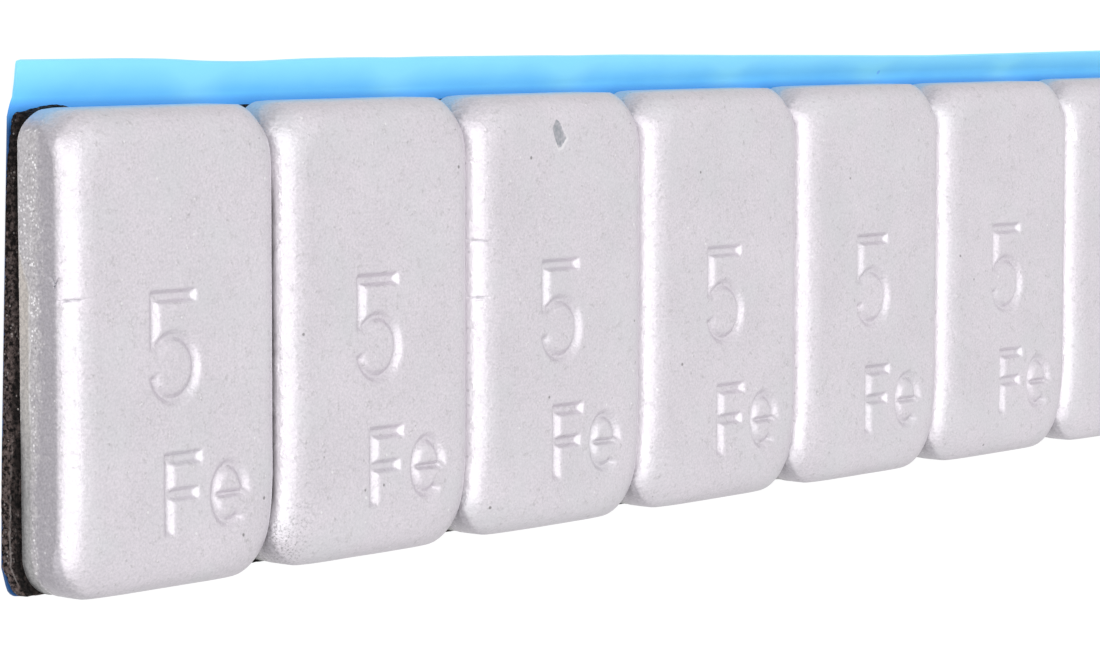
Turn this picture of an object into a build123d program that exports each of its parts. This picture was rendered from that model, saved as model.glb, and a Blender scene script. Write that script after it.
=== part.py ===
"""Strip of stick-on wheel balance weights, 12 pressed steel segments of 5 g on one foam tape.

The strip lies on the back of its release liner, at z = 0. X runs along the strip, Y across it
towards the liner's pull tab, and Z out of the segments' faces. The origin is at the middle of
the strip's length and of the segments' width. All sizes are in millimetres.
"""

import os
from math import radians

from build123d import *

os.makedirs("parts", exist_ok=True)

# Driving dimensions of the steel segments
segment_count = 12
segment_length = 11.75  # along the strip
segment_width = 19.0  # across the strip
segment_thickness = 3.0
segment_gap = 0.25  # between neighbours, where the strip bends and is cut
segment_edge_radius = 1.5  # one pressed rounding on the corners and all around the outer face

# Driving dimensions of the double-sided foam tape, which is slit to the segments' width
tape_thickness = 0.8
tape_side_offset = 0.1  # the tape lies this much nearer to the pull tab than the segments
tape_end_overhang = 0.25  # the cut tape runs on past the two end segments' outer sides
tape_corner_radius = 1.0

# Driving dimensions of the release liner, a plastic film with one long edge left free to grip
liner_thickness = 0.12
liner_tab_width = 1.95  # measured along the film, past the tape's edge
liner_tab_angle = 43.0  # the free edge has curled up towards the segments
liner_corner_radius = 0.8
liner_tab_corner_radius = 0.4

# Places that follow from the sizes above
segment_pitch = segment_length + segment_gap
strip_length = segment_count * segment_pitch - segment_gap
tape_length = strip_length + 2 * tape_end_overhang
tape_width = segment_width
tape_front_edge = tape_side_offset - tape_width / 2
tape_tab_edge = tape_side_offset + tape_width / 2
tape_top = liner_thickness + tape_thickness

# Release liner: flat under the tape, with the free edge curled up in one arc
with BuildPart() as release_liner:
    with BuildSketch(Plane.YZ):
        with BuildLine():
            under_tape = Line((tape_front_edge, 0), (tape_tab_edge, 0))
            JernArc(
                start=under_tape @ 1,
                tangent=under_tape % 1,
                radius=liner_tab_width / radians(liner_tab_angle),
                arc_size=liner_tab_angle,
            )
            offset(amount=liner_thickness, side=Side.LEFT)
        make_face()
    extrude(amount=tape_length / 2, both=True)
    front_corners = release_liner.faces().sort_by(Axis.Y)[0].edges().filter_by(Axis.Z)
    fillet(front_corners, liner_corner_radius)
    tab_corners = release_liner.faces().sort_by(Axis.Y)[-1].edges().sort_by(SortBy.LENGTH)[:2]
    fillet(tab_corners, liner_tab_corner_radius)

release_liner.part.label = "release_liner"
export_step(release_liner.part, "parts/release_liner.step")

# Foam tape: one black foam strip, sticky on both sides, cut square with slightly rounded corners
with BuildPart() as foam_tape:
    with BuildSketch(Plane((0, tape_side_offset, liner_thickness))):
        RectangleRounded(tape_length, tape_width, tape_corner_radius)
    extrude(amount=tape_thickness)

foam_tape.part.label = "foam_tape"
export_step(foam_tape.part, "parts/foam_tape.step")

# Steel segments: each one a separate pressing, glued down flat with a small gap to the next
for number in range(1, segment_count + 1):
    segment_x = (number - (segment_count + 1) / 2) * segment_pitch
    with BuildPart() as weight:
        with BuildSketch(Plane((segment_x, 0, tape_top))):
            Rectangle(segment_length, segment_width)
        extrude(amount=segment_thickness)
        corner_edges = weight.edges().filter_by(Axis.Z)
        face_edges = weight.faces().sort_by(Axis.Z)[-1].edges()
        fillet(corner_edges + face_edges, segment_edge_radius)

    weight.part.label = f"weight_{number:02d}"
    export_step(weight.part, f"parts/weight_{number:02d}.step")
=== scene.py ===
"""Looks of a strip of stick-on wheel balance weights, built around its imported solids.

Twelve pressed and coated steel weights sit on one black foam tape, and a blue film covers the
tape's other side. X runs along the strip, Y across it towards the film's pull tab, and Z out of
the weights' faces. Meshes are worked in millimetres and brought to metres when they are finished.
"""

from math import cos, pi, radians, sin

import bmesh
import bpy
import numpy as np
from mathutils import Matrix, Vector, noise


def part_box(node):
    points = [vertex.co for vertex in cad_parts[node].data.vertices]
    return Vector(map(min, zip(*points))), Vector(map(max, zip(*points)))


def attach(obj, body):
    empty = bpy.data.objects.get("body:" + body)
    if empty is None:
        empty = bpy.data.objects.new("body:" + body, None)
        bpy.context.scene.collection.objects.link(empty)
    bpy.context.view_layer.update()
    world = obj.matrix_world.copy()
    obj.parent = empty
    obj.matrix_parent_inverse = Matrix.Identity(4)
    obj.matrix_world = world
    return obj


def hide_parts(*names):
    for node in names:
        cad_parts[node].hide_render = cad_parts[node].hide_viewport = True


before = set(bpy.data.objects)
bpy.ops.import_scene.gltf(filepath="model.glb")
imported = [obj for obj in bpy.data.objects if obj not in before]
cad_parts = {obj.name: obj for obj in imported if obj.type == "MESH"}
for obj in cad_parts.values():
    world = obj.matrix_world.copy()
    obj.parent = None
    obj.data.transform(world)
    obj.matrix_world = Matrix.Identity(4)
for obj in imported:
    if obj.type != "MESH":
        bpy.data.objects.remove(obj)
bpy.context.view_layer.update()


# Release liner: a thin blue plastic film that keeps the tape's back clean until it is peeled off.
# It is slit from a roll and pressed onto the sticky foam, wider on one side to leave a pull tab.
# The tab has bent up towards the weights, and it buckles a little at each gap between them.
MM = 0.001
liner_low, liner_high = (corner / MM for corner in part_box("release_liner"))
tape_low, tape_high = (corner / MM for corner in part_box("foam_tape"))
first_low, first_high = (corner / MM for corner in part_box("weight_01"))
second_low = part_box("weight_02")[0] / MM
weight_count = sum(name.startswith("weight_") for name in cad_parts)
weight_pitch = second_low.x - first_low.x
first_gap = (first_high.x + second_low.x) / 2

film_thickness = 0.12
film_length = liner_high.x - liner_low.x
front_edge = first_low.y + 0.01  # film and foam end just inside the weights' front
tab_width = 1.88  # along the film, past the tape
# The tab's lift in degrees, and the share of its width that is lost, at places along the strip
tab_lifts = {-72: 22, -50: 24, -34: 29, -22: 36, -9: 40, 5: 38, 40: 32, 72: 28}
tab_narrowing = {-66: 0.0, -58: 0.05, -34: 0.06, -22: 0.10, -9: 0.17, 5: 0.13, 40: 0.06}
tab_bend_radius = 1.1
tab_end = tape_high.y + tab_width
tab_corner_radius = 0.16
front_corner_radius = 0.4
film_shrink = 0.11  # the film ends this much short of the cut foam
film_shrink_start = 2.0
film_column = 0.25
film_rows = {  # rows of the grid at places across the strip, closest together by the tab
    0: front_edge,
    5: front_edge + 1.2,
    9: tape_high.y - 2.0,
    16: tape_high.y - 0.2,
    18: tape_high.y,
    36: tab_end,
}
end_power = 8  # the askew cut is felt only close to the strip's two ends
cut_middle = 0.19  # the askew cut across the ends: how far in at the middle, and how steep
cut_slope = 0.034
cut_corner = -8.25  # from here on to the front the cut runs in faster
film_corner_slope = 0.35
tab_end_cut = {9.2: 0.0, 9.9: 0.22, 10.5: 0.10, 11.5: -0.15}  # the tab's end is cut with a bow
first_dip = 0.06  # the tab is dragged back most at the first gap
first_dip_offset = 0.8
first_dip_reach = 3.0
buckle_before_gap = 1.6
buckle_reach = 1.3
buckle_share = 0.55  # of the tab's wave, the rest of which is slow and uneven
slow_wave = 17.0
slow_wave_row = 3.7
wave_lift_loss = 0.16
wave_width_loss = 0.045
# Lit and shaded copies of the film's blue, between which its painted light and shade run
film_shaded_blue = (0.112, 0.475, 0.98, 1.0)
film_lit_blue = (0.215, 0.635, 0.90, 1.0)
film_root_shade_blue = (0.055, 0.27, 0.72, 1.0)
film_smudge = (0.10, 0.30, 0.62, 1.0)
film_end_shade = (0.010, 0.060, 0.185, 1.0)
film_glow = 0.32  # painted light: the film glows, standing in for light that comes through it from the white table
film_cloudiness = 0.2
# painted highlight: the tab is painted paler where it buckles before each gap
buckle_highlight_strength = 0.4
pale_start = 0.2  # painted light: from just inside the tape's edge the film is painted paler towards its free edge
pale_reach = 1.9
root_shade = 0.75  # painted shade: it is darkest where it leaves the tape
root_reach = 0.30
root_fade = 0.35
end_shade_length = 2.0  # painted shade on the film by the foam at the strip's ends
end_shade_fade = 0.5
end_shade_top = 9.6
end_shade_top_fade = 0.9
crease_angle = radians(50.0)  # edges that are bent more than this look sharp


def clamp(value, low=0.0, high=1.0):
    """Hold a value between two ends."""
    return min(high, max(low, value))


def rounded_corner(place, corner, inward, radius):
    """Pull a point of a square corner onto the quarter circle that rounds it."""
    centre = Vector((corner[0] + inward[0] * radius, corner[1] + inward[1] * radius))
    offset = place - centre
    if offset.x * inward[0] >= 0 or offset.y * inward[1] >= 0:
        return place
    return centre + offset * (max(abs(offset.x), abs(offset.y)) / offset.length)


def cut_inset(across, corner_slope):
    """How far inside its solid the tape's end is cut, at a place across the strip."""
    return max(0.0, cut_middle + cut_slope * across) + corner_slope * max(0.0, cut_corner - across)


def gap_buckle(along):
    """How strongly the tab buckles at a place along the strip: most just before each gap."""
    from_gap = (along - first_gap + weight_pitch / 2) % weight_pitch - weight_pitch / 2
    return np.exp(-((from_gap + buckle_before_gap) / buckle_reach) ** 2)


def tab_wave(along):
    """How far the tab has sprung back at a place along the strip, from 0 to 1."""
    slow = 0.5 + 0.5 * noise.noise(Vector((along / slow_wave, slow_wave_row, 0.0)))
    return buckle_share * gap_buckle(along) + (1 - buckle_share) * slow


def along_table(table, place):
    """Read a value between the places that a table gives."""
    return np.interp(place, list(table), list(table.values()))


def set_inputs(tree, node, inputs):
    """Give a shader node its inputs, each a value or another node's output."""
    for name, value in inputs.items():
        if isinstance(value, bpy.types.NodeSocket):
            tree.links.new(value, node.inputs[name])
        else:
            node.inputs[name].default_value = value


def add_node(tree, kind, inputs=None, **settings):
    """Add a shader node with its own settings and inputs."""
    node = tree.nodes.new(kind)
    for name, value in settings.items():
        setattr(node, name, value)
    set_inputs(tree, node, inputs or {})
    return node


def math_node(tree, operation, first, second=0.0, third=0.0):
    """One step of arithmetic between values or outputs."""
    inputs = {0: first, 1: second, 2: third}
    return add_node(tree, "ShaderNodeMath", inputs, operation=operation).outputs[0]


def times(tree, first, second):
    """The product of two values or outputs."""
    return math_node(tree, "MULTIPLY", first, second)


def ramp(tree, value, low, high, to_low=0.0, to_high=1.0):
    """Stretch a value from one range to another, without going past its ends."""
    return add_node(
        tree,
        "ShaderNodeMapRange",
        {"Value": value, "From Min": low, "From Max": high, "To Min": to_low, "To Max": to_high},
    ).outputs["Result"]


def new_group(name, sockets_in, socket_out):
    """Start a shader node group with number inputs and one number output."""
    group = bpy.data.node_groups.new(name, "ShaderNodeTree")
    for socket_name, value in sockets_in.items():
        socket = group.interface.new_socket(socket_name, in_out="INPUT", socket_type="NodeSocketFloat")
        socket.default_value = value
    group.interface.new_socket(socket_out, in_out="OUTPUT", socket_type="NodeSocketFloat")
    return group, group.nodes.new("NodeGroupInput").outputs, group.nodes.new("NodeGroupOutput").inputs


def make_grain_group():
    """Soft blotches of one size, stretched so that Low gives 0 and High gives 1."""
    group, given, result = new_group(
        "surface_grain", {"Scale": 1000.0, "Detail": 2.0, "Low": 0.3, "High": 0.7}, "Grain"
    )
    place = add_node(group, "ShaderNodeTexCoord").outputs["Object"]
    inputs = {"Vector": place, "Scale": given["Scale"], "Detail": given["Detail"], "Roughness": 0.6}
    blotches = add_node(group, "ShaderNodeTexNoise", inputs).outputs[0]
    group.links.new(ramp(group, blotches, given["Low"], given["High"]), result["Grain"])
    return group


def make_speck_group():
    """Small round specks, one in the middle of a share of the cells that fill the space."""
    group, given, result = new_group(
        "scattered_specks", {"Scale": 1000.0, "Size": 0.1, "Share": 0.2}, "Speck"
    )
    place = add_node(group, "ShaderNodeTexCoord").outputs["Object"]
    cells = add_node(group, "ShaderNodeTexVoronoi", {"Vector": place, "Scale": given["Scale"]}).outputs
    core = times(group, given["Size"], 0.6)
    inside = ramp(group, cells["Distance"], given["Size"], core)
    draw = add_node(group, "ShaderNodeSeparateColor", {"Color": cells["Color"]}).outputs["Red"]
    chosen = math_node(group, "LESS_THAN", draw, given["Share"])
    group.links.new(times(group, inside, chosen), result["Speck"])
    return group


grain_group = make_grain_group()
speck_group = make_speck_group()


def place_group(tree, group, values):
    """Place a node group in a material with its own values, and give its output."""
    inputs = {name.title(): value for name, value in values.items()}
    return add_node(tree, "ShaderNodeGroup", inputs, node_tree=group).outputs[0]


def grain(tree, **values):
    """Soft blotches in a material."""
    return place_group(tree, grain_group, values)


def specks(tree, **values):
    """Scattered specks in a material."""
    return place_group(tree, speck_group, values)


def blend_colours(tree, factor, first, second):
    """Mix two colours, each a value or an output, by a factor."""
    inputs = {0: factor, 6: first, 7: second}
    return add_node(tree, "ShaderNodeMix", inputs, data_type="RGBA").outputs[2]


def cover(tree, colour, other, mask, strength=1.0):
    """Lay another colour over a colour where a mask is, at a strength."""
    factor = mask if strength == 1.0 else times(tree, mask, strength)
    return blend_colours(tree, factor, colour, other)


def painted(tree, name):
    """A value stored on the points of the mesh."""
    return add_node(tree, "ShaderNodeAttribute", attribute_name=name).outputs["Fac"]


def new_material(name):
    """Start a material and give its tree and its shader."""
    material = bpy.data.materials.new(name)
    material.use_nodes = True
    tree = material.node_tree
    return material, tree, tree.nodes["Principled BSDF"]


def bump(tree, shader, height, strength, distance):
    """Let a height stand out a little from a shader's surface."""
    inputs = {"Height": height, "Strength": strength, "Distance": distance}
    normal = add_node(tree, "ShaderNodeBump", inputs).outputs["Normal"]
    set_inputs(tree, shader, {"Normal": normal})


def make_film_material():
    """Blue film with painted light and shade: deeper where it leaves the foam and by the strip's ends,
    paler at its free edge and where it buckles, and glowing.
    """
    material, tree, shader = new_material("blue_film")
    cloud = grain(tree, scale=420.0, detail=2.0, low=0.25, high=0.75)
    # Painted light and shade: the blue runs from shaded by the tape to lit at the free edge
    shade = math_node(tree, "MULTIPLY_ADD", cloud, film_cloudiness, painted(tree, "towards_edge"))
    shade = math_node(tree, "MULTIPLY_ADD", painted(tree, "buckle_highlight"), buckle_highlight_strength, shade)
    shade = math_node(tree, "SUBTRACT", shade, film_cloudiness / 2)
    colour = blend_colours(tree, shade, film_shaded_blue, film_lit_blue)
    colour = cover(tree, colour, film_root_shade_blue, painted(tree, "root_shadowed"))
    dust = specks(tree, scale=700.0, size=0.10, share=0.12)
    colour = cover(tree, colour, film_smudge, dust, strength=0.55)
    colour = cover(tree, colour, film_end_shade, painted(tree, "end_shaded"))
    gloss = ramp(tree, cloud, 0.0, 1.0, 0.28, 0.42)
    # painted light: the film glows in its own colour
    set_inputs(tree, shader, {"Base Color": colour, "Emission Color": colour, "Roughness": gloss})
    set_inputs(tree, shader, {"Emission Strength": film_glow})
    bump(tree, shader, cloud, strength=0.25, distance=0.00004)
    return material


def add_object(name, data):
    """Put a mesh, a light or a camera into the scene as an object."""
    added = bpy.data.objects.new(name, data)
    bpy.context.scene.collection.objects.link(added)
    return added


def finish_piece(bm, name, material, node):
    """Turn a mesh in millimetres into a shown piece that stands for its solid."""
    bmesh.ops.scale(bm, vec=(MM, MM, MM), verts=bm.verts)
    mesh = bpy.data.meshes.new(name)
    bm.to_mesh(mesh)
    bm.free()
    mesh.shade_smooth()
    mesh.set_sharp_from_angle(angle=crease_angle)
    mesh.materials.append(material)
    piece = add_object(name, mesh)
    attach(piece, "root")
    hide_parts(node)


film = bmesh.new()
film_row_count = max(film_rows)
bmesh.ops.create_grid(
    film, x_segments=round(film_length / film_column), y_segments=film_row_count, size=0.5
)
buckle_highlight = film.verts.layers.float.new("buckle_highlight")
end_shaded = film.verts.layers.float.new("end_shaded")
towards_edge = film.verts.layers.float.new("towards_edge")
root_shadowed = film.verts.layers.float.new("root_shadowed")
for vert in film.verts:
    row = film_row_count * (vert.co.y + 0.5)
    flat = Vector((vert.co.x * film_length, along_table(film_rows, row)))
    near_end = abs(2 * vert.co.x) ** end_power
    for side in (-1, 1):
        end = side * film_length / 2
        flat = rounded_corner(flat, (end, front_edge), (-side, 1), front_corner_radius)
        flat = rounded_corner(flat, (end, tab_end), (-side, -1), tab_corner_radius)
    held_back = film_shrink * clamp((flat.y - front_edge) / film_shrink_start)
    held_back += along_table(tab_end_cut, flat.y)
    # painted shade on the film by the foam near the strip's ends, below the tab
    at_end = clamp((abs(flat.x) - film_length / 2 + end_shade_length) / end_shade_fade)
    vert[end_shaded] = at_end * clamp((end_shade_top - flat.y) / end_shade_top_fade)
    flat.x -= np.sign(vert.co.x) * near_end * (cut_inset(flat.y, film_corner_slope) + held_back)
    wave = tab_wave(flat.x)
    # painted highlight where the tab buckles
    vert[buckle_highlight] = gap_buckle(flat.x)
    # painted light: paler towards the free edge
    vert[towards_edge] = clamp((flat.y - tape_high.y + pale_start) / pale_reach)
    # painted shade where the film leaves the tape
    vert[root_shadowed] = root_shade * clamp((tape_high.y + root_reach - flat.y) / root_fade)
    lift = radians(along_table(tab_lifts, flat.x)) * (1 - wave_lift_loss * wave)
    dip = first_dip * np.exp(-((flat.x - first_gap - first_dip_offset) / first_dip_reach) ** 2)
    narrowed = along_table(tab_narrowing, flat.x)
    past_tape = max(0.0, flat.y - tape_high.y) * (1 - wave_width_loss * wave - dip - narrowed)
    turned = min(lift, past_tape / tab_bend_radius)
    straight = past_tape - turned * tab_bend_radius
    vert.co = (
        flat.x,
        min(flat.y, tape_high.y) + tab_bend_radius * sin(turned) + straight * cos(turned),
        tab_bend_radius * (1 - cos(turned)) + straight * sin(turned),
    )
bmesh.ops.recalc_face_normals(film, faces=film.faces)
bmesh.ops.solidify(film, geom=film.faces[:], thickness=film_thickness)
finish_piece(film, "liner_film", make_film_material(), "release_liner")


# Foam tape: a strip of black closed-cell foam with glue on both faces, which carries the weights.
# It is cut from a roll with a blade, so its edges are rough with opened cells, and the end is a
# little askew. The half next to the weights is drawn in and black with squeezed-out glue.
foam_cell = 0.15
foam_end_cell = 0.1
foam_layers = 10
foam_thickness = tape_high.z - tape_low.z
foam_corner = {-1: 0.35, 1: 0.3}  # at the front and at the tab
foam_corner_segments = 6
foam_corner_slope = 0.52
long_edge = 5.0  # the straight edges are longer than this, and those of the corners shorter
tiny = 1e-4  # lengths that differ by less are the same
foam_pull_back = 0.12
foam_tab_shrink = 0.22  # the tab side lies further in, except by the strip's ends
foam_shrink_start = 2.4
foam_shrink_fade = 0.9
foam_front_evenness = 0.8  # the front side is cut more evenly, except by the ends
foam_even_start = 2.0
foam_even_fade = 2.0
foam_tab_tear = 0.28  # the end is torn off this far at its corner by the tab
foam_tear_start = 6.8
foam_tear_bend = 1.3
foam_tab_droop = 0.28  # and the corner is pressed down
foam_droop_reach = 1.4
foam_roughness = 0.09
glue_line = 0.56  # share of the thickness that is free of glue
glue_line_wander = 0.10
glue_line_sharpness = 26
frayed_reach = 2.2  # the cut is frayed this far from the front
frayed_fade = 1.2
foam_shaded_zone = (4.0, 8.0)  # places across the strip where a look starts and where it is full
foam_dusty_zone = (2.0, -3.0)
foam_seam_highlight_zone = (-3.0, -5.0)
foam_size = Vector((tape_high.x - tape_low.x, tape_high.y - front_edge))
foam_middle = (front_edge + tape_high.y) / 2
foam_black = (0.004, 0.003, 0.003, 1.0)
foam_brown = (0.155, 0.118, 0.112, 1.0)
foam_glue = (0.003, 0.003, 0.003, 1.0)
foam_ash = (0.42, 0.38, 0.37, 1.0)
foam_torn_brown = (0.195, 0.148, 0.137, 1.0)


def glue_share(place):
    """How much a place of the cut edge belongs to the drawn-in, glue-black half, from 0 to 1."""
    height = (place.z - tape_low.z) / foam_thickness
    line = glue_line + glue_line_wander * noise.noise(place * 0.7)
    return 1 / (1 + np.exp(-(height - line) * glue_line_sharpness))


def foam_inset(place):
    """How far the cut edge lies inside the plain outline, from its cells and its drawn-in half."""
    drawn_in = foam_pull_back * glue_share(place) * (0.8 + 0.5 * noise.noise(place * 0.9))
    cells = max(0.0, noise.noise(place * 6.0)) + 0.6 * max(0.0, noise.noise(place * 13.0))
    from_end = foam_size.x / 2 - abs(place.x)
    inset = drawn_in + foam_roughness * cells
    if place.y > foam_middle:
        shrunk = 1 - np.exp(-max(0.0, from_end - foam_shrink_start) / foam_shrink_fade)
        return inset + foam_tab_shrink * shrunk
    return inset * (1 - foam_front_evenness * clamp((from_end - foam_even_start) / foam_even_fade))


def fade_along(tree, axis, zone, most=1.0):
    """Rise from 0 to the most a look gets between two places, in millimetres along an axis."""
    place = add_node(tree, "ShaderNodeTexCoord").outputs["Object"]
    own_place = add_node(tree, "ShaderNodeSeparateXYZ", {"Vector": place}).outputs[axis]
    return ramp(tree, own_place, zone[0] * MM, zone[1] * MM, 0.0, most)


def make_foam_material():
    """Black foam: brown-black cut cells with ash-grey torn walls, and black glue above them."""
    material, tree, shader = new_material("cut_black_foam")
    cells = grain(tree, scale=6000.0, detail=4.0, low=0.42, high=0.66)
    patches = grain(tree, scale=800.0, detail=2.0, low=0.35, high=0.65)
    colour = blend_colours(tree, cells, foam_black, foam_brown)
    colour = cover(tree, colour, foam_black, fade_along(tree, "Y", foam_shaded_zone, most=0.65))
    dusty = fade_along(tree, "Y", foam_dusty_zone, most=0.5)
    frayed = math_node(tree, "MAXIMUM", painted(tree, "frayed"), dusty)
    colour = cover(tree, colour, foam_torn_brown, times(tree, frayed, cells))
    torn = times(tree, specks(tree, scale=6500.0, size=0.36, share=0.30), patches)
    colour = cover(tree, colour, foam_ash, torn, strength=0.7)
    glued = painted(tree, "glued")
    squeezed = times(tree, glued, ramp(tree, patches, 0.2, 0.8, 0.9, 0.5))
    colour = cover(tree, colour, foam_glue, squeezed)
    # Painted highlight: a pale line where the glue-black half meets the cut cells, towards the front
    half = times(tree, glued, math_node(tree, "SUBTRACT", 1.0, glued))
    seam_highlight = times(tree, ramp(tree, half, 0.2, 0.25), ramp(tree, patches, 0.3, 0.7))
    seam_highlight = times(tree, seam_highlight, fade_along(tree, "Y", foam_seam_highlight_zone, most=0.45))
    colour = cover(tree, colour, foam_ash, seam_highlight)
    dust = specks(tree, scale=2600.0, size=0.14, share=0.25)
    colour = cover(tree, colour, foam_ash, dust, strength=0.8)
    set_inputs(tree, shader, {"Base Color": colour, "Roughness": 0.85, "Specular IOR Level": 0.12})
    bump(tree, shader, cells, strength=0.9, distance=0.00006)
    return material


def round_off(bm, geom, offset, segments, affect="EDGES"):
    """Round edges or flat corners off with arcs."""
    bmesh.ops.bevel(
        bm,
        geom=geom,
        offset=offset,
        offset_type="OFFSET",
        affect=affect,
        segments=segments,
        profile=0.5,
        material=-1,
    )


foam = bmesh.new()
bmesh.ops.create_grid(foam, x_segments=1, y_segments=1, size=0.5)
bmesh.ops.scale(foam, vec=(foam_size.x, foam_size.y, 1.0), verts=foam.verts)
bmesh.ops.translate(foam, vec=(0.0, foam_middle, tape_low.z), verts=foam.verts)
for side, radius in foam_corner.items():
    corners = [vert for vert in foam.verts if len(vert.link_edges) == 2
               and abs(abs(vert.co.x) - foam_size.x / 2) < tiny
               and abs(vert.co.y - foam_middle - side * foam_size.y / 2) < tiny]
    round_off(foam, corners, radius, foam_corner_segments, affect="VERTICES")
for edge in [edge for edge in foam.edges if edge.calc_length() > long_edge]:
    runs_across = abs(edge.verts[0].co.x - edge.verts[1].co.x) < tiny
    cell = foam_end_cell if runs_across else foam_cell
    bmesh.ops.subdivide_edges(foam, edges=[edge], cuts=round(edge.calc_length() / cell) - 1)
top_face = foam.faces[:]
for layer in range(foam_layers):
    raised = bmesh.ops.extrude_face_region(foam, geom=top_face, use_keep_orig=layer == 0)["geom"]
    top_face = [item for item in raised if isinstance(item, bmesh.types.BMFace)]
    raised_verts = [item for item in raised if isinstance(item, bmesh.types.BMVert)]
    bmesh.ops.translate(foam, vec=(0.0, 0.0, foam_thickness / foam_layers), verts=raised_verts)
bmesh.ops.recalc_face_normals(foam, faces=foam.faces)
glued = foam.verts.layers.float.new("glued")
frayed = foam.verts.layers.float.new("frayed")
outward = {}
for vert in foam.verts:
    sideways = Vector((0.0, 0.0, 0.0))
    for face in vert.link_faces:
        if abs(face.normal.z) < 0.5:
            sideways += face.normal
    outward[vert] = sideways.normalized()
for vert, direction in outward.items():
    place = vert.co.copy()
    vert[glued] = glue_share(place)
    vert[frayed] = clamp((front_edge + frayed_reach - place.y) / frayed_fade)
    vert.co -= direction * foam_inset(place)
    near_end = abs(place.x / (foam_size.x / 2)) ** end_power
    by_tab = clamp((place.y - foam_tear_start) / (tape_high.y - foam_tear_start))
    cut_off = cut_inset(place.y, foam_corner_slope) + foam_tab_tear * by_tab**foam_tear_bend
    vert.co.x -= np.sign(place.x) * near_end * cut_off
    from_end = foam_size.x / 2 - abs(place.x)
    vert.co.y -= foam_tab_droop * by_tab * np.exp(-((from_end / foam_droop_reach) ** 2))
finish_piece(foam, "foam_tape_cut", make_foam_material(), "foam_tape")


# Steel weights: twelve slugs blanked and pressed from strip steel, with a coined rounding round the
# outer face and the mass and material stamped in. They are coated in silver-grey powder and stuck
# down side by side. Below the rounding the sheared sides are dull, and torn next to the tape.
blank_length = first_high.x - first_low.x
blank_width = first_high.y - first_low.y
blank_thickness = first_high.z - first_low.z
blank_back = first_low.z
# Plan radii of the blank and of its coined rounding, each by (left or right, front or tab)
blank_corner = {(-1, -1): 1.75, (-1, 1): 1.32, (1, -1): 1.9, (1, 1): 1.32}
face_corner = {(-1, -1): 4.4, (-1, 1): 2.6, (1, -1): 4.4, (1, 1): 2.7}
corner_segments = 12
coined_reach = 1.27  # from the side to where the flat face starts
coined_angle = radians(78.0)  # the coined rounding meets the sheared side at a slight crease
coined_segments = 12
corner_drop = {-1: 0.4, 1: 0.8}  # at a corner the rounding ends this much further down
tab_side_drop = 0.8  # and as much further down along the tab side, next to the left corner
tab_drop_reach = 2.2
end_droop = 0.30  # the sheared corners by the tab are drawn in, most of all at the strip's end
left_droop = 0.18
right_droop = 0.08
droop_reach = 1.05
droop_fade = 0.9
tab_growths = {1: 0.0, 6: 0.02}  # the press lets most blanks spread a little towards the tab
usual_tab_growth = 0.06
tab_growth_start = 6.5
back_rounding = 0.02
back_segments = 2
face_cell = 0.15
face_border = 0.08
corner_cells = 9
wall_cell = 0.1  # rows of the sides: fine ones up to a height, and a few above
wall_fine_top = 1.1
wall_rows = (1.3, 1.5)
row_under_crease = 0.03

stamp_half_width = 0.315
bar_half_width = 0.20  # the bar of the e is thinner, and so less deep
stamp_run = 0.285  # width of the mark's slanted walls
arm_run = 0.20  # and along the strokes that lie across
stamp_softness = 0.11  # share of the run that is rounded off at either end of it
stamp_blend = 0.025
stamp_end_blend = 0.05
stamp_depths = {1: 0.25, 2: 0.28, 3: 0.28}
usual_stamp_depth = 0.27
stamp_margin = 0.2  # the face is divided more finely this far around the marks
stamp_least = 0.002


def room_on_blank(x, y, radius):
    """Distance of a place from the blank's side, where its plan corners have this radius."""
    past = Vector((abs(x) - blank_length / 2 + radius, abs(y) - blank_width / 2 + radius))
    return radius - (past.length if min(past) > 0 else max(past))


def coined_height(x, y):
    """Height of the pressed face above the back, and of the crease at the nearest side."""
    end = 1 if y > 0 else -1
    corner = (1 if x > 0 else -1, end)
    from_side = room_on_blank(x, y, blank_corner[corner])
    rounder = from_side - room_on_blank(x, y, face_corner[corner])
    most_rounder = (face_corner[corner] - blank_corner[corner]) * (2**0.5 - 1)
    bulge = 1 / sin(coined_angle)
    full_drop = bulge - (bulge**2 - 1) ** 0.5
    drop = coined_reach * full_drop + corner_drop[end] * (rounder / most_rounder) ** 2
    from_left = blank_length / 2 + x
    from_tab = blank_width / 2 - y
    towards_tab = from_left / (from_left + from_tab + 1e-6)
    drop += tab_side_drop * towards_tab**2 * np.exp(-((from_left / tab_drop_reach) ** 2))
    part = clamp(1 - from_side / (coined_reach + rounder))
    fallen = (bulge - (bulge**2 - part**2) ** 0.5) / full_drop
    return blank_thickness - drop * fallen, blank_thickness - drop


def arc_points(centre, radii, start, end, count=28):
    """Points of an arc of an ellipse, from one angle in degrees to another."""
    angles = np.radians(np.linspace(start, end, count))
    return np.array(centre) + np.array(radii) * np.column_stack((np.cos(angles), np.sin(angles)))


def stamp_strokes():
    """The strokes of a figure 5 for the grams, and below it of the sign for iron.

    Each one has its middle line, its half width and the width of its walls.
    """
    uprights = [[(-1.47, 2.39), (-1.47, -0.06)], [(-0.73, -4.00), (-0.73, -7.38)]]
    arms = [
        [(-1.74, 2.12), (0.86, 2.12)],
        [(-1.00, -4.27), (1.14, -4.27)],
        [(-0.95, -5.68), (0.93, -5.68)],
    ]
    bowls = [
        np.vstack(((-1.52, 0.08), arc_points((-0.38, -0.68), (1.17, 1.25), 125, -172))),
        arc_points((2.69, -5.91), (0.86, 1.14), -6, 318),
    ]
    bar = [(1.86, -5.92), (3.58, -5.92)]
    strokes = [(line, stamp_half_width, stamp_run) for line in uprights + bowls]
    strokes += [(line, stamp_half_width, arm_run) for line in arms] + [(bar, bar_half_width, arm_run)]
    return [(np.array(line, float), half_width, run) for line, half_width, run in strokes]


def soft_least(*rooms):
    """The least of several distances, with the change from one to the next rounded off."""
    return -stamp_end_blend * np.logaddexp.reduce([-room / stamp_end_blend for room in rooms], axis=0)


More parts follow.
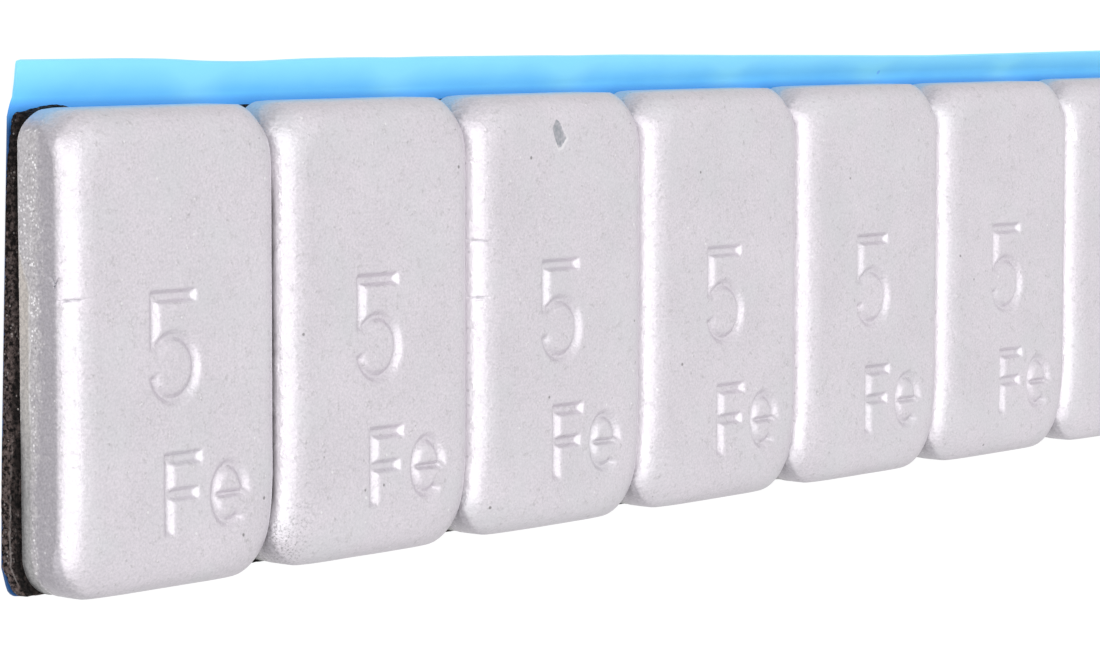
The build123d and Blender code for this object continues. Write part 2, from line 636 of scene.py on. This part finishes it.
def depth_inside(points, stroke, half_width):
    """Distance of each point from the edge of a stroke's outline, above 0 inside the stroke."""
    nearest = np.full(len(points), np.inf)
    inside = np.full(len(points), -np.inf)
    last = len(stroke) - 2
    for index, (start, end) in enumerate(zip(stroke[:-1], stroke[1:])):
        run = end - start
        length = np.hypot(*run)
        along = (points - start) @ run / length
        held = np.clip(along, 0, length)
        distance = np.hypot(*(points - start - np.outer(held / length, run)).T)
        across = np.abs((points - start) @ np.array((-run[1], run[0])) / length)
        room = half_width - distance
        if index == last == 0:
            room = soft_least(half_width - across, along, length - along)
        elif index == 0:
            room = np.where(along < length, soft_least(half_width - across, along), room)
        elif index == last:
            room = np.where(along > 0, soft_least(half_width - across, length - along), room)
        closer = distance < nearest
        inside = np.where(closer, room, inside)
        nearest = np.where(closer, distance, nearest)
    return inside


def stamp_room(points):
    """Distance of each point from the edge of the stamped marks, blended where strokes meet."""
    rooms = np.array([
        depth_inside(points, line, half_width) * stamp_run / run
        for line, half_width, run in stamp_strokes()
    ])
    return stamp_blend * np.logaddexp.reduce(rooms / stamp_blend, axis=0)


def cut_across(bm, axis, places, flat_only=False):
    """Cut the mesh square to an axis at each of the places, whole or only within the flat face."""
    for place in places:
        point = Vector((0.0, 0.0, 0.0))
        point[axis] = place
        direction = Vector((0.0, 0.0, 0.0))
        direction[axis] = 1.0
        cut = bm.verts[:] + bm.edges[:] + bm.faces[:]
        if flat_only:
            faces = [face for face in bm.faces if face.material_index == 0
                     and face.calc_center_median().z > blank_thickness - tiny]
            edges = {edge for face in faces for edge in face.edges}
            cut = faces + list(edges) + list({vert for edge in edges for vert in edge.verts})
        bmesh.ops.bisect_plane(bm, geom=cut, dist=tiny, plane_co=point, plane_no=direction)


def evenly(low, high, step):
    """Places from low to high, about a step apart."""
    return np.linspace(low, high, round((high - low) / step) + 1)


def level_edges(bm, height):
    """Edges that lie at one height."""
    return [edge for edge in bm.edges if all(abs(vert.co.z - height) < tiny for vert in edge.verts)]


def pressed_blank():
    """One weight as it leaves the press, its back at height 0 and its middle at the origin."""
    bm = bmesh.new()
    bmesh.ops.create_cube(bm, size=1.0)
    bmesh.ops.translate(bm, vec=(0.0, 0.0, 0.5), verts=bm.verts)
    bmesh.ops.scale(bm, vec=(blank_length, blank_width, blank_thickness), verts=bm.verts)
    for (side, end), radius in blank_corner.items():
        upright = [
            edge for edge in bm.edges
            if abs(edge.verts[0].co.z - edge.verts[1].co.z) > blank_thickness / 2
            and edge.verts[0].co.x * side > 0 and edge.verts[0].co.y * end > 0
        ]
        round_off(bm, upright, radius, corner_segments)
    round_off(bm, level_edges(bm, blank_thickness), coined_reach, coined_segments)
    round_off(bm, level_edges(bm, 0.0), back_rounding, back_segments)
    flat = max(bm.faces, key=lambda face: face.calc_center_median().z)
    for face in bmesh.ops.inset_region(bm, faces=[flat], thickness=face_border)["faces"]:
        face.material_index = 1

    straight_x = blank_length / 2 - max(blank_corner.values())
    straight_front = blank_corner[1, -1] - blank_width / 2
    straight_tab = blank_width / 2 - blank_corner[-1, 1]
    wall_top = blank_thickness - coined_reach
    beyond = np.arange(1, corner_cells + 1) * face_cell
    cut_across(bm, 0, [*(-straight_x - beyond), *(straight_x + beyond)], flat_only=True)
    cut_across(bm, 1, [*(straight_front - beyond), *(straight_tab + beyond)], flat_only=True)
    cut_across(bm, 0, evenly(-straight_x, straight_x, face_cell))
    cut_across(bm, 1, evenly(straight_front, straight_tab, face_cell))
    fine_rows = evenly(back_rounding, wall_fine_top, wall_cell)[1:]
    cut_across(bm, 2, [*fine_rows, *wall_rows, wall_top - row_under_crease])
    for face in bm.faces:
        face.material_index = 0
    back = [face for face in bm.faces if all(vert.co.z < tiny for vert in face.verts)]
    bmesh.ops.dissolve_faces(bm, faces=back, use_verts=False)

    for vert in bm.verts:
        pressed, crease = coined_height(vert.co.x, vert.co.y)
        on_top = vert.co.z > wall_top - tiny
        vert.co.z = pressed if on_top else vert.co.z * crease / wall_top

    flat_faces = [face for face in bm.faces if face.calc_center_median().z > blank_thickness - tiny]
    centres = np.array([face.calc_center_median().xy for face in flat_faces])
    stamped_edges = {
        edge for face, room in zip(flat_faces, stamp_room(centres))
        if room > -stamp_margin and len(face.verts) == 4
        for edge in face.edges
    }
    bmesh.ops.subdivide_edges(bm, edges=list(stamped_edges), cuts=2, use_grid_fill=True)
    stamped = bm.verts.layers.float.new("stamped")
    on_face = [vert for vert in bm.verts if vert.co.z > blank_thickness - tiny]
    rooms = stamp_room(np.array([vert.co.xy for vert in on_face]))
    shares = rooms / stamp_run / stamp_softness
    shares = np.logaddexp(0, shares) - np.logaddexp(0, shares - 1 / stamp_softness)
    for vert, share in zip(on_face, shares * stamp_softness):
        vert[stamped] = share if share > stamp_least else 0.0
    return bm


# Zones of the sides, in millimetres above the back, and the wear that single weights have: lines on
# the left rounding are (kind, start, end, half width, depth) with each end as (height, place across),
# and a chip is an outline on the face.
torn_top = 1.10
torn_front_drop = 0.28
torn_blur = 0.6
torn_depth = 0.02
dull_tops = {1: 2.10}
usual_dull_top = 1.88
dull_tab_drop = 0.15
dull_blur = 0.08
bright_edge_top = 2.55  # painted highlight: the sides that face a neighbour are painted brighter up to here, standing in for light from the neighbour
edge_blur = 0.25
bubble_height = 0.014
gap_shade_tops = {2: 2.25}  # painted shade darkens the far side of the first gap
rolled_top = 0.58
rolled_blur = 0.12
rolled_depth = 0.015
rolled_in_blur = 0.3
rolled_shade_zone = (blank_back + 0.32, blank_back)  # the shade lies by the tape
# Places across the strip where something starts and where it is full
rolled_zone = (4.2, 2.6)
ragged_zone = (4.2, 2.2)
rolled_in_zone = (-2.0, -7.0)
rolled_beige_zone = (-5.0, 1.0)
rolled_dark_zone = (-1.0, -4.5)
rim_highlight_zone = (-5.0, -2.0)
torn_drop_zone = (-1.0, -5.0)
dull_drop_zone = (6.0, 8.5)
edge_tab_zone = (8.2, 7.0)
edge_front_zone = (-7.8, -6.6)
gap_shade_tab_zone = (6.9, 5.7)
gap_shade_front_zone = (-7.4, -6.2)
# The same for how far the surface faces the tab
torn_facing = (0.7, 0.3)
dull_facing = (1.0, 0.55)
side_facing = (0.6, 0.3)
wear_lines = {
    1: [
        ("scratch", (2.14, 2.17), (2.985, 2.27), 0.085, 0.075),
        ("nick", (1.83, 3.07), (1.99, 2.86), 0.08, 0.06),
        ("nick", (2.16, 3.06), (1.98, 2.72), 0.05, 0.06),
        ("nick", (1.86, 8.62), (1.92, 8.40), 0.085, 0.03),
        ("nick", (2.58, 3.05), (2.59, 3.05), 0.055, 0.04),
    ],
    3: [
        ("scratch", (2.10, 3.44), (2.92, 3.36), 0.08, 0.06),
        ("scratch", (2.14, 0.95), (2.86, 0.96), 0.07, 0.055),
        ("scratch", (2.28, 0.76), (2.70, 0.80), 0.05, 0.045),
    ],
    7: [("flake", (2.54, 6.90), (2.62, 6.62), 0.14, 0.05)],
}
chips = {
    3: [(-0.77, 8.50), (-1.03, 8.09), (-0.87, 7.66), (-0.64, 7.24), (-0.45, 7.26), (-0.07, 7.66),
        (-0.30, 7.92), (-0.45, 8.27)],
}
chip_depth = 0.05
chip_below_face = 0.2
chip_wander = 0.02
chip_blur = 0.06
chip_rim = 0.6  # lifted coat around the chip
chip_rim_offset = 0.07
chip_rim_width = 0.05
chip_refine_reach = 0.8
line_wander = 0.35
line_reach = 2.5
path_reach = 1.0  # a place further off along the side is left alone
line_refine_reach = 2.6
scratch_end = 0.35  # share of its depth that a scratch has at its ends
nick_strength = 1.2
bare_strength = 0.65
flake_steepness = 4
flake_rim = 1.6
grit_spots = {2: (-5.75, -8.9, 1.7)}  # middle and reach
grit_stretch = 1.6
grit_fade = 1.4
grit_height = 0.004
face_unevenness = 0.006
fine_unevenness = 0.003
noise_step = 31.7  # each weight reads the noise at a place of its own

coat_silver = (0.770, 0.722, 0.776, 1.0)
coat_shade = (0.590, 0.562, 0.602, 1.0)
coat_cool = (0.640, 0.660, 0.675, 1.0)
coat_dull = (0.385, 0.365, 0.400, 1.0)
coat_worn = (0.525, 0.50, 0.54, 1.0)
coat_bright = (0.86, 0.85, 0.86, 1.0)
coat_edge_highlight = (0.95, 0.91, 0.95, 1.0)
torn_dark = (0.42, 0.40, 0.42, 1.0)
torn_pale = (0.70, 0.675, 0.695, 1.0)
torn_glint = (1.0, 0.98, 1.0, 1.0)
torn_pit = (0.22, 0.21, 0.22, 1.0)
grit_dark = (0.36, 0.345, 0.36, 1.0)
gap_shade_grey = (0.11, 0.10, 0.105, 1.0)
rolled_grey = (0.50, 0.495, 0.50, 1.0)
rolled_beige = (0.64, 0.595, 0.56, 1.0)
rolled_shade = (0.06, 0.06, 0.06, 1.0)
bare_steel = (0.25, 0.28, 0.31, 1.0)
pinhole_grey = (0.16, 0.155, 0.15, 1.0)


def make_coat_material():
    """Silver-grey powder coat: fine grain, flecks and pinholes, dull and torn on the sheared sides,
    with painted highlights and painted shade on them.
    """
    material, tree, shader = new_material("silver_grey_powder_coat")
    clouds = grain(tree, scale=300.0, detail=3.0, low=0.3, high=0.7)
    hues = grain(tree, scale=430.0, detail=1.0, low=0.45, high=0.75)
    flakes = grain(tree, scale=9000.0, detail=2.0, low=0.3, high=0.7)
    coarse = grain(tree, scale=3200.0, detail=2.0, low=0.3, high=0.7)
    tone = math_node(tree, "MULTIPLY_ADD", clouds, 0.25, times(tree, flakes, 0.75))
    colour = blend_colours(tree, tone, coat_shade, coat_silver)
    colour = cover(tree, colour, coat_cool, hues, strength=0.35)

    dull = painted(tree, "dull")
    colour = cover(tree, colour, blend_colours(tree, flakes, coat_dull, coat_worn), dull)
    ragged = math_node(tree, "MULTIPLY_ADD", coarse, 0.9, painted(tree, "torn"))
    torn = ramp(tree, ragged, 0.6, 1.2)
    torn_colour = blend_colours(tree, ramp(tree, flakes, -0.1, 1.1), torn_dark, torn_pale)
    clusters = grain(tree, scale=1300.0, detail=2.0, low=0.35, high=0.65)
    sparkle = times(tree, specks(tree, scale=6800.0, size=0.42, share=0.5), clusters)
    torn_colour = cover(tree, torn_colour, torn_glint, sparkle)
    pits = specks(tree, scale=4600.0, size=0.36, share=0.3)
    torn_colour = cover(tree, torn_colour, torn_pit, pits, strength=0.6)
    colour = cover(tree, colour, torn_colour, torn)
    rolled = painted(tree, "rolled")
    by_tab = fade_along(tree, "Y", rolled_beige_zone)
    rolled_colour = blend_colours(tree, by_tab, rolled_grey, rolled_beige)
    rolled_colour = cover(tree, rolled_colour, torn_pit, ramp(tree, flakes, 0.15, 0.75, 0.45, 0.0))
    under = fade_along(tree, "Z", rolled_shade_zone, most=0.7)
    under = times(tree, under, fade_along(tree, "Y", rolled_dark_zone))
    rolled_colour = cover(tree, rolled_colour, rolled_shade, under)
    colour = cover(tree, colour, rolled_colour, rolled)
    # Painted highlight: a bright ragged line along the top of the rolled band
    half = times(tree, rolled, math_node(tree, "SUBTRACT", 1.0, rolled))
    rim = times(tree, ramp(tree, half, 0.1, 0.25), ramp(tree, coarse, 0.1, 0.8))
    rim = times(tree, rim, fade_along(tree, "Y", rim_highlight_zone))
    colour = cover(tree, colour, coat_bright, rim, strength=0.7)
    gritty = painted(tree, "gritty")
    grit = times(tree, gritty, ramp(tree, flakes, 0.4, 0.1))
    colour = cover(tree, colour, grit_dark, grit)

    # Painted highlight on the sides that face a neighbour, with darker bubbles in it
    edge_highlight = painted(tree, "edge_highlight")
    colour = cover(tree, colour, coat_edge_highlight, edge_highlight)
    bubbles = times(tree, specks(tree, scale=3700.0, size=0.30, share=0.30), edge_highlight)
    colour = cover(tree, colour, grit_dark, bubbles, strength=0.3)
    # painted shade on the far side of the first gap
    colour = cover(tree, colour, gap_shade_grey, painted(tree, "gap_shaded"))

    flecks = specks(tree, scale=1500.0, size=0.11, share=0.14)
    colour = cover(tree, colour, coat_bright, flecks, strength=0.7)
    pinholes = specks(tree, scale=830.0, size=0.075, share=0.16)
    colour = cover(tree, colour, pinhole_grey, pinholes, strength=0.75)
    bare_colour = blend_colours(tree, coarse, bare_steel, coat_shade)
    colour = cover(tree, colour, bare_colour, ramp(tree, painted(tree, "bare"), 0.35, 0.6))
    colour = cover(tree, colour, coat_bright, painted(tree, "lifted"))

    gloss = math_node(tree, "MULTIPLY_ADD", dull, 0.15, ramp(tree, flakes, 0.0, 1.0, 0.30, 0.40))
    gloss = math_node(tree, "MULTIPLY_ADD", torn, 0.1, gloss)
    set_inputs(tree, shader, {"Base Color": colour, "Metallic": 0.55, "Roughness": gloss})
    rough = math_node(tree, "ADD", torn, gritty)
    relief = math_node(tree, "MULTIPLY_ADD", coarse, 1.5, flakes)
    relief = times(tree, relief, math_node(tree, "MULTIPLY_ADD", rough, 0.8, 1.0))
    peel = grain(tree, scale=1100.0, detail=2.0, low=0.2, high=0.8)
    relief = math_node(tree, "MULTIPLY_ADD", peel, 2.0, relief)
    bump(tree, shader, relief, strength=0.4, distance=0.000014)
    return material


def distance_to(place, start, end):
    """Distance from a point to a short line, and how far along the line its nearest point is."""
    run = Vector(end) - Vector(start)
    share = 0.0
    if run.length > 0:
        share = clamp((place - Vector(start)).dot(run) / run.length_squared)
    return (place - Vector(start) - run * share).length, share


def on_left_side(height, across):
    """The point of a weight's left side or rounding at a height above its back."""
    bulge = 1 / sin(coined_angle)
    lowered = min((blank_thickness - height) / coined_reach, bulge - (bulge**2 - 1) ** 0.5)
    part = (bulge**2 - (bulge - lowered) ** 2) ** 0.5
    radius = blank_corner[-1, 1]
    turned_in = radius - (radius**2 - max(0.0, across - blank_width / 2 + radius) ** 2) ** 0.5
    return Vector((coined_reach * (1 - part) - blank_length / 2 + turned_in, across, height))


def wear_path(start, end):
    """Points of a mark of wear that follows the left rounding."""
    return [on_left_side(*point) for point in np.linspace(start, end, 9)]


def distance_to_path(place, path):
    """Distance from a point to a path, and how far along the path its nearest point is."""
    if abs(place.y - path[0].y) > path_reach:
        return path_reach, 0.0
    away = [distance_to(place, first, second) for first, second in zip(path, path[1:])]
    index = min(range(len(away)), key=lambda number: away[number][0])
    return away[index][0], (index + away[index][1]) / len(away)


def room_in_outline(place, outline):
    """Distance of a point from the edge of an outline, above 0 inside it."""
    nearest = np.inf
    inside = False
    for first, second in zip(outline, outline[1:] + outline[:1]):
        nearest = min(nearest, distance_to(place.xy, first, second)[0])
        if (first[1] > place.y) != (second[1] > place.y):
            share = (place.y - first[1]) / (second[1] - first[1])
            if place.x < first[0] + (second[0] - first[0]) * share:
                inside = not inside
    return nearest if inside else -nearest


def refine_near(bm, path, reach):
    """Divide the faces near a mark of wear, so that its shape has enough points."""
    for _ in range(2):
        near = {
            edge for face in bm.faces
            if len(face.verts) < 6 and distance_to_path(face.calc_center_median(), path)[0] < reach
            for edge in face.edges
        }
        bmesh.ops.subdivide_edges(bm, edges=list(near), cuts=1, use_grid_fill=True)


def fade(value, start, full):
    """Rise from 0 where something starts to 1 where it is full."""
    return clamp((value - start) / (full - start))


def weather_sides(vert, seed, number, layers, facing):
    """Paint the zones of the sheared sides at a point, and give how far the surface is torn away."""
    place = vert.co
    ragged = 0.12 * noise.noise(seed * 0.9) + 0.07 * noise.noise(seed * 3.0)
    low_line = rolled_top * fade(place.y, *rolled_zone) + ragged * fade(place.y, *ragged_zone) / 2
    high_line = torn_top - torn_front_drop * fade(place.y, *torn_drop_zone) + 1.5 * ragged
    dull_top = dull_tops.get(number, usual_dull_top) - dull_tab_drop * fade(place.y, *dull_drop_zone)
    rolled = clamp(0.5 + (low_line - place.z) / rolled_blur)
    torn = clamp(0.5 + (high_line - place.z) / torn_blur) * fade(facing, *torn_facing)
    dull = clamp(0.5 + (dull_top - place.z) / dull_blur) * fade(abs(facing), *dull_facing)
    # painted highlight on the left side of each weight after the first
    edge_highlight = 0.0
    if number > 1 and place.x < 0:
        along_side = fade(abs(facing), *side_facing)
        edge_highlight = along_side * fade(place.y, *edge_tab_zone) * fade(place.y, *edge_front_zone)
        edge_highlight *= clamp((bright_edge_top - place.z) / edge_blur)
        # painted shade where the first gap is deep
        gap_shade_top = gap_shade_tops.get(number, 0.0) + ragged / 2
        gap_shaded = along_side * fade(place.y, *gap_shade_tab_zone) * fade(place.y, *gap_shade_front_zone)
        vert[layers["gap_shaded"]] = gap_shaded * clamp((gap_shade_top - place.z) / edge_blur)
    for name, value in (("rolled", rolled), ("torn", torn), ("dull", dull), ("edge_highlight", edge_highlight)):
        vert[layers[name]] = value
    rough = 0.5 + 0.5 * noise.noise(seed * 3.6) + 0.3 * noise.noise(seed * 9.0)
    rolled_in = fade(place.y, *rolled_in_zone) * clamp((low_line - place.z) / rolled_in_blur)
    bubbled = bubble_height * edge_highlight * max(0.0, noise.noise(seed * 4.5))
    return torn_depth * rough * torn + rolled_depth * (rolled + rolled_in) + bubbled


def add_wear(vert, seed, number, layers, paths):
    """Paint scratches, nicks and chips at a point, and give how far they cut in."""
    place = vert.co
    cut = 0.0
    for kind, path, half_width, depth in paths:
        away, share = distance_to_path(place, path)
        across = away * (1 + line_wander * noise.noise(seed * 4.0)) / half_width
        if across > line_reach:
            continue
        if kind == "flake":
            cut += depth * clamp((1 - across) * flake_steepness)
            vert[layers["lifted"]] = clamp(flake_rim - across)
            continue
        taper = nick_strength
        if kind == "scratch":
            taper = scratch_end + (1 - scratch_end) * sin(pi * (0.1 + 0.8 * share))
        cut += depth * taper * clamp(1 - across)
        bare = bare_strength * taper * clamp(1 - across)
        vert[layers["bare"]] = max(vert[layers["bare"]], bare)
    if number in chips and place.z > blank_thickness - chip_below_face:
        room = room_in_outline(place, chips[number]) + chip_wander * noise.noise(seed * 9.0)
        chipped = clamp(0.5 + room / chip_blur)
        cut += chip_depth * chipped
        vert[layers["bare"]] = max(vert[layers["bare"]], chipped)
        rim = chip_rim * np.exp(-((room + chip_rim_offset) / chip_rim_width) ** 2)
        rim *= clamp(0.5 + 2 * noise.noise(seed * 2.5))
        vert[layers["lifted"]] = max(vert[layers["lifted"]], rim)
    return cut


def wear_down(bm, number, layers):
    """Stamp the marks, leave the face a little uneven, tear the sheared sides and add wear."""
    offset = Vector((number * noise_step, 0.0, 0.0))
    stamped = bm.verts.layers.float["stamped"]
    for vert in bm.verts:
        from_side = blank_length / 2 - abs(vert.co.x)
        from_tab = blank_width / 2 - vert.co.y
        droop = right_droop if vert.co.x > 0 else (end_droop if number == 1 else left_droop)
        vert.co.y -= droop * np.exp(-((from_side / droop_reach) ** 2) - from_tab / droop_fade)
        spread = clamp(1 - from_tab / (blank_width / 2 - tab_growth_start))
        vert.co.y += tab_growths.get(number, usual_tab_growth) * spread
    paths = [
        (kind, wear_path(start, end), half_width, depth)
        for kind, start, end, half_width, depth in wear_lines.get(number, ())
    ]
    for kind, path, half_width, depth in paths:
        refine_near(bm, path, half_width * line_refine_reach)
    for outline in [chips[number]] if number in chips else []:
        middle = Vector((*np.mean(outline, axis=0), blank_thickness))
        refine_near(bm, [middle, middle], chip_refine_reach)
    bm.normal_update()
    normals = {vert: vert.normal.copy() for vert in bm.verts}
    for vert, normal in normals.items():
        place = vert.co.copy()
        seed = place + offset
        inset = face_unevenness * (1 + noise.noise(seed * 0.45))
        inset += fine_unevenness * noise.noise(seed * 1.3)
        if place.z < bright_edge_top:
            inset += weather_sides(vert, seed, number, layers, normal.y)
        inset += add_wear(vert, seed, number, layers, paths)
        if number in grit_spots:
            spot_x, spot_y, reach = grit_spots[number]
            away = Vector((place.x - spot_x, (place.y - spot_y) / grit_stretch)).length / reach
            vert[layers["gritty"]] = clamp(grit_fade - grit_fade * away)
            inset += grit_height * vert[layers["gritty"]] * max(0.0, noise.noise(seed * 7.0))
        vert.co = place - normal * max(0.0, inset)
        vert.co.z -= stamp_depths.get(number, usual_stamp_depth) * vert[stamped]


blank = pressed_blank()
blank_mesh = bpy.data.meshes.new("pressed_blank")
blank.to_mesh(blank_mesh)
blank.free()
coat = make_coat_material()
layer_names = ("rolled", "torn", "dull", "bare", "lifted", "gritty", "edge_highlight", "gap_shaded")
for number in range(1, weight_count + 1):
    weight = bmesh.new()
    weight.from_mesh(blank_mesh)
    layers = {name: weight.verts.layers.float.new(name) for name in layer_names}
    wear_down(weight, number, layers)
    middle = (first_low + first_high) / 2 + Vector(((number - 1) * weight_pitch, 0.0, 0.0))
    bmesh.ops.translate(weight, vec=(middle.x, middle.y, blank_back), verts=weight.verts)
    finish_piece(weight, f"coated_weight_{number:02d}", coat, f"weight_{number:02d}")
bpy.data.meshes.remove(blank_mesh)


# Studio: a white table and white surroundings, one large soft light beyond the end of the strip
# that draws the bright line down each coined rounding, and a soft light above.
def white_to_viewer(tree, seen, lit, mirrored):
    """Show white to the camera, a share of it in reflections, and the plain shader to other rays."""
    path = add_node(tree, "ShaderNodeLightPath").outputs
    glossy = times(tree, path["Is Glossy Ray"], mirrored)
    direct = math_node(tree, "MAXIMUM", path["Is Camera Ray"], glossy)
    direct = math_node(tree, "MAXIMUM", direct, path["Is Transmission Ray"])
    return add_node(tree, "ShaderNodeMixShader", {0: direct, 1: lit, 2: seen}).outputs[0]


def soft_light(name, place, target, size, power, mirrored=True):
    """A soft box that faces the object and doesn't show itself."""
    lamp = bpy.data.lights.new(name, "AREA")
    lamp.shape = "RECTANGLE"
    lamp.size, lamp.size_y = size
    lamp.energy = power
    box = add_object(name, lamp)
    box.location = place
    box.rotation_euler = (Vector(target) - Vector(place)).to_track_quat("-Z", "Y").to_euler()
    box.visible_camera = False
    box.visible_glossy = mirrored


table_size = 3.0
table_height = -0.00003
table_grey = (0.56, 0.56, 0.56, 1.0)
plain_white = (1.0, 1.0, 1.0, 1.0)
table_glow = 1.35
table_glow_share = 0.66  # the rest keeps the strip's shadow
table_mirrored = 0.34
room_light = 0.45
room_mirrored = 0.9
table_mesh = bpy.data.meshes.new("table")
table = bmesh.new()
bmesh.ops.create_grid(table, x_segments=1, y_segments=1, size=table_size / 2)
bmesh.ops.translate(table, vec=(0.0, 0.0, table_height), verts=table.verts)
table.to_mesh(table_mesh)
table.free()
table_top = add_object("table", table_mesh)
table_material, tree, shader = new_material("white_table")
set_inputs(tree, shader, {"Base Color": table_grey, "Roughness": 0.9, "Specular IOR Level": 0.0})
glow = add_node(tree, "ShaderNodeEmission", {"Color": plain_white, "Strength": table_glow})
seen = add_node(
    tree, "ShaderNodeMixShader", {0: table_glow_share, 1: shader.outputs[0], 2: glow.outputs[0]}
).outputs[0]
shown = white_to_viewer(tree, seen, shader.outputs[0], table_mirrored)
set_inputs(tree, tree.nodes["Material Output"], {"Surface": shown})
table_mesh.materials.append(table_material)

world = bpy.data.worlds.new("white_room")
world.use_nodes = True
bpy.context.scene.world = world
tree = world.node_tree
dim = tree.nodes["Background"]
set_inputs(tree, dim, {"Color": plain_white, "Strength": room_light})
white = add_node(tree, "ShaderNodeBackground", {"Color": plain_white, "Strength": 1.0})
shown = white_to_viewer(tree, white.outputs[0], dim.outputs[0], room_mirrored)
set_inputs(tree, tree.nodes["World Output"], {"Surface": shown})

strip_end = Vector((first_low.x, 0.0, blank_back)) * MM
end_light_place = strip_end + Vector((-1.052, 0.1, 0.764))
soft_light("end_light", end_light_place, strip_end, size=(3.4, 1.82), power=19.7)
top_light_place = (0.0, 0.35, 1.55)
soft_light("top_light", top_light_place, (0.0, 0.0, 0.0), (1.4, 1.4), power=11.6, mirrored=False)


# Camera: at the photograph's angle, near the end of the strip and turned so that the strip's
# width stands upright in the picture.
picture_width = 1100
focal_pixels = 3904.858
camera_turn = radians(50.794)
camera_dip = radians(4.724)
camera_roll = radians(0.06)
camera_place = Vector((-174.805, 13.556, 111.243)) * MM
camera = bpy.data.cameras.new("camera")
camera.sensor_width = 36.0
camera.lens = focal_pixels / picture_width * camera.sensor_width
camera.clip_start = 0.01
camera_object = add_object("camera", camera)
turn = Matrix.Rotation(-camera_turn, 4, "Y")
dip = Matrix.Rotation(-camera_dip, 4, "X")
roll = Matrix.Rotation(camera_roll, 4, "Z")
camera_object.matrix_world = Matrix.Translation(camera_place) @ turn @ dip @ roll
bpy.context.scene.camera = camera_object
bpy.context.scene.view_settings.view_transform = "Standard"
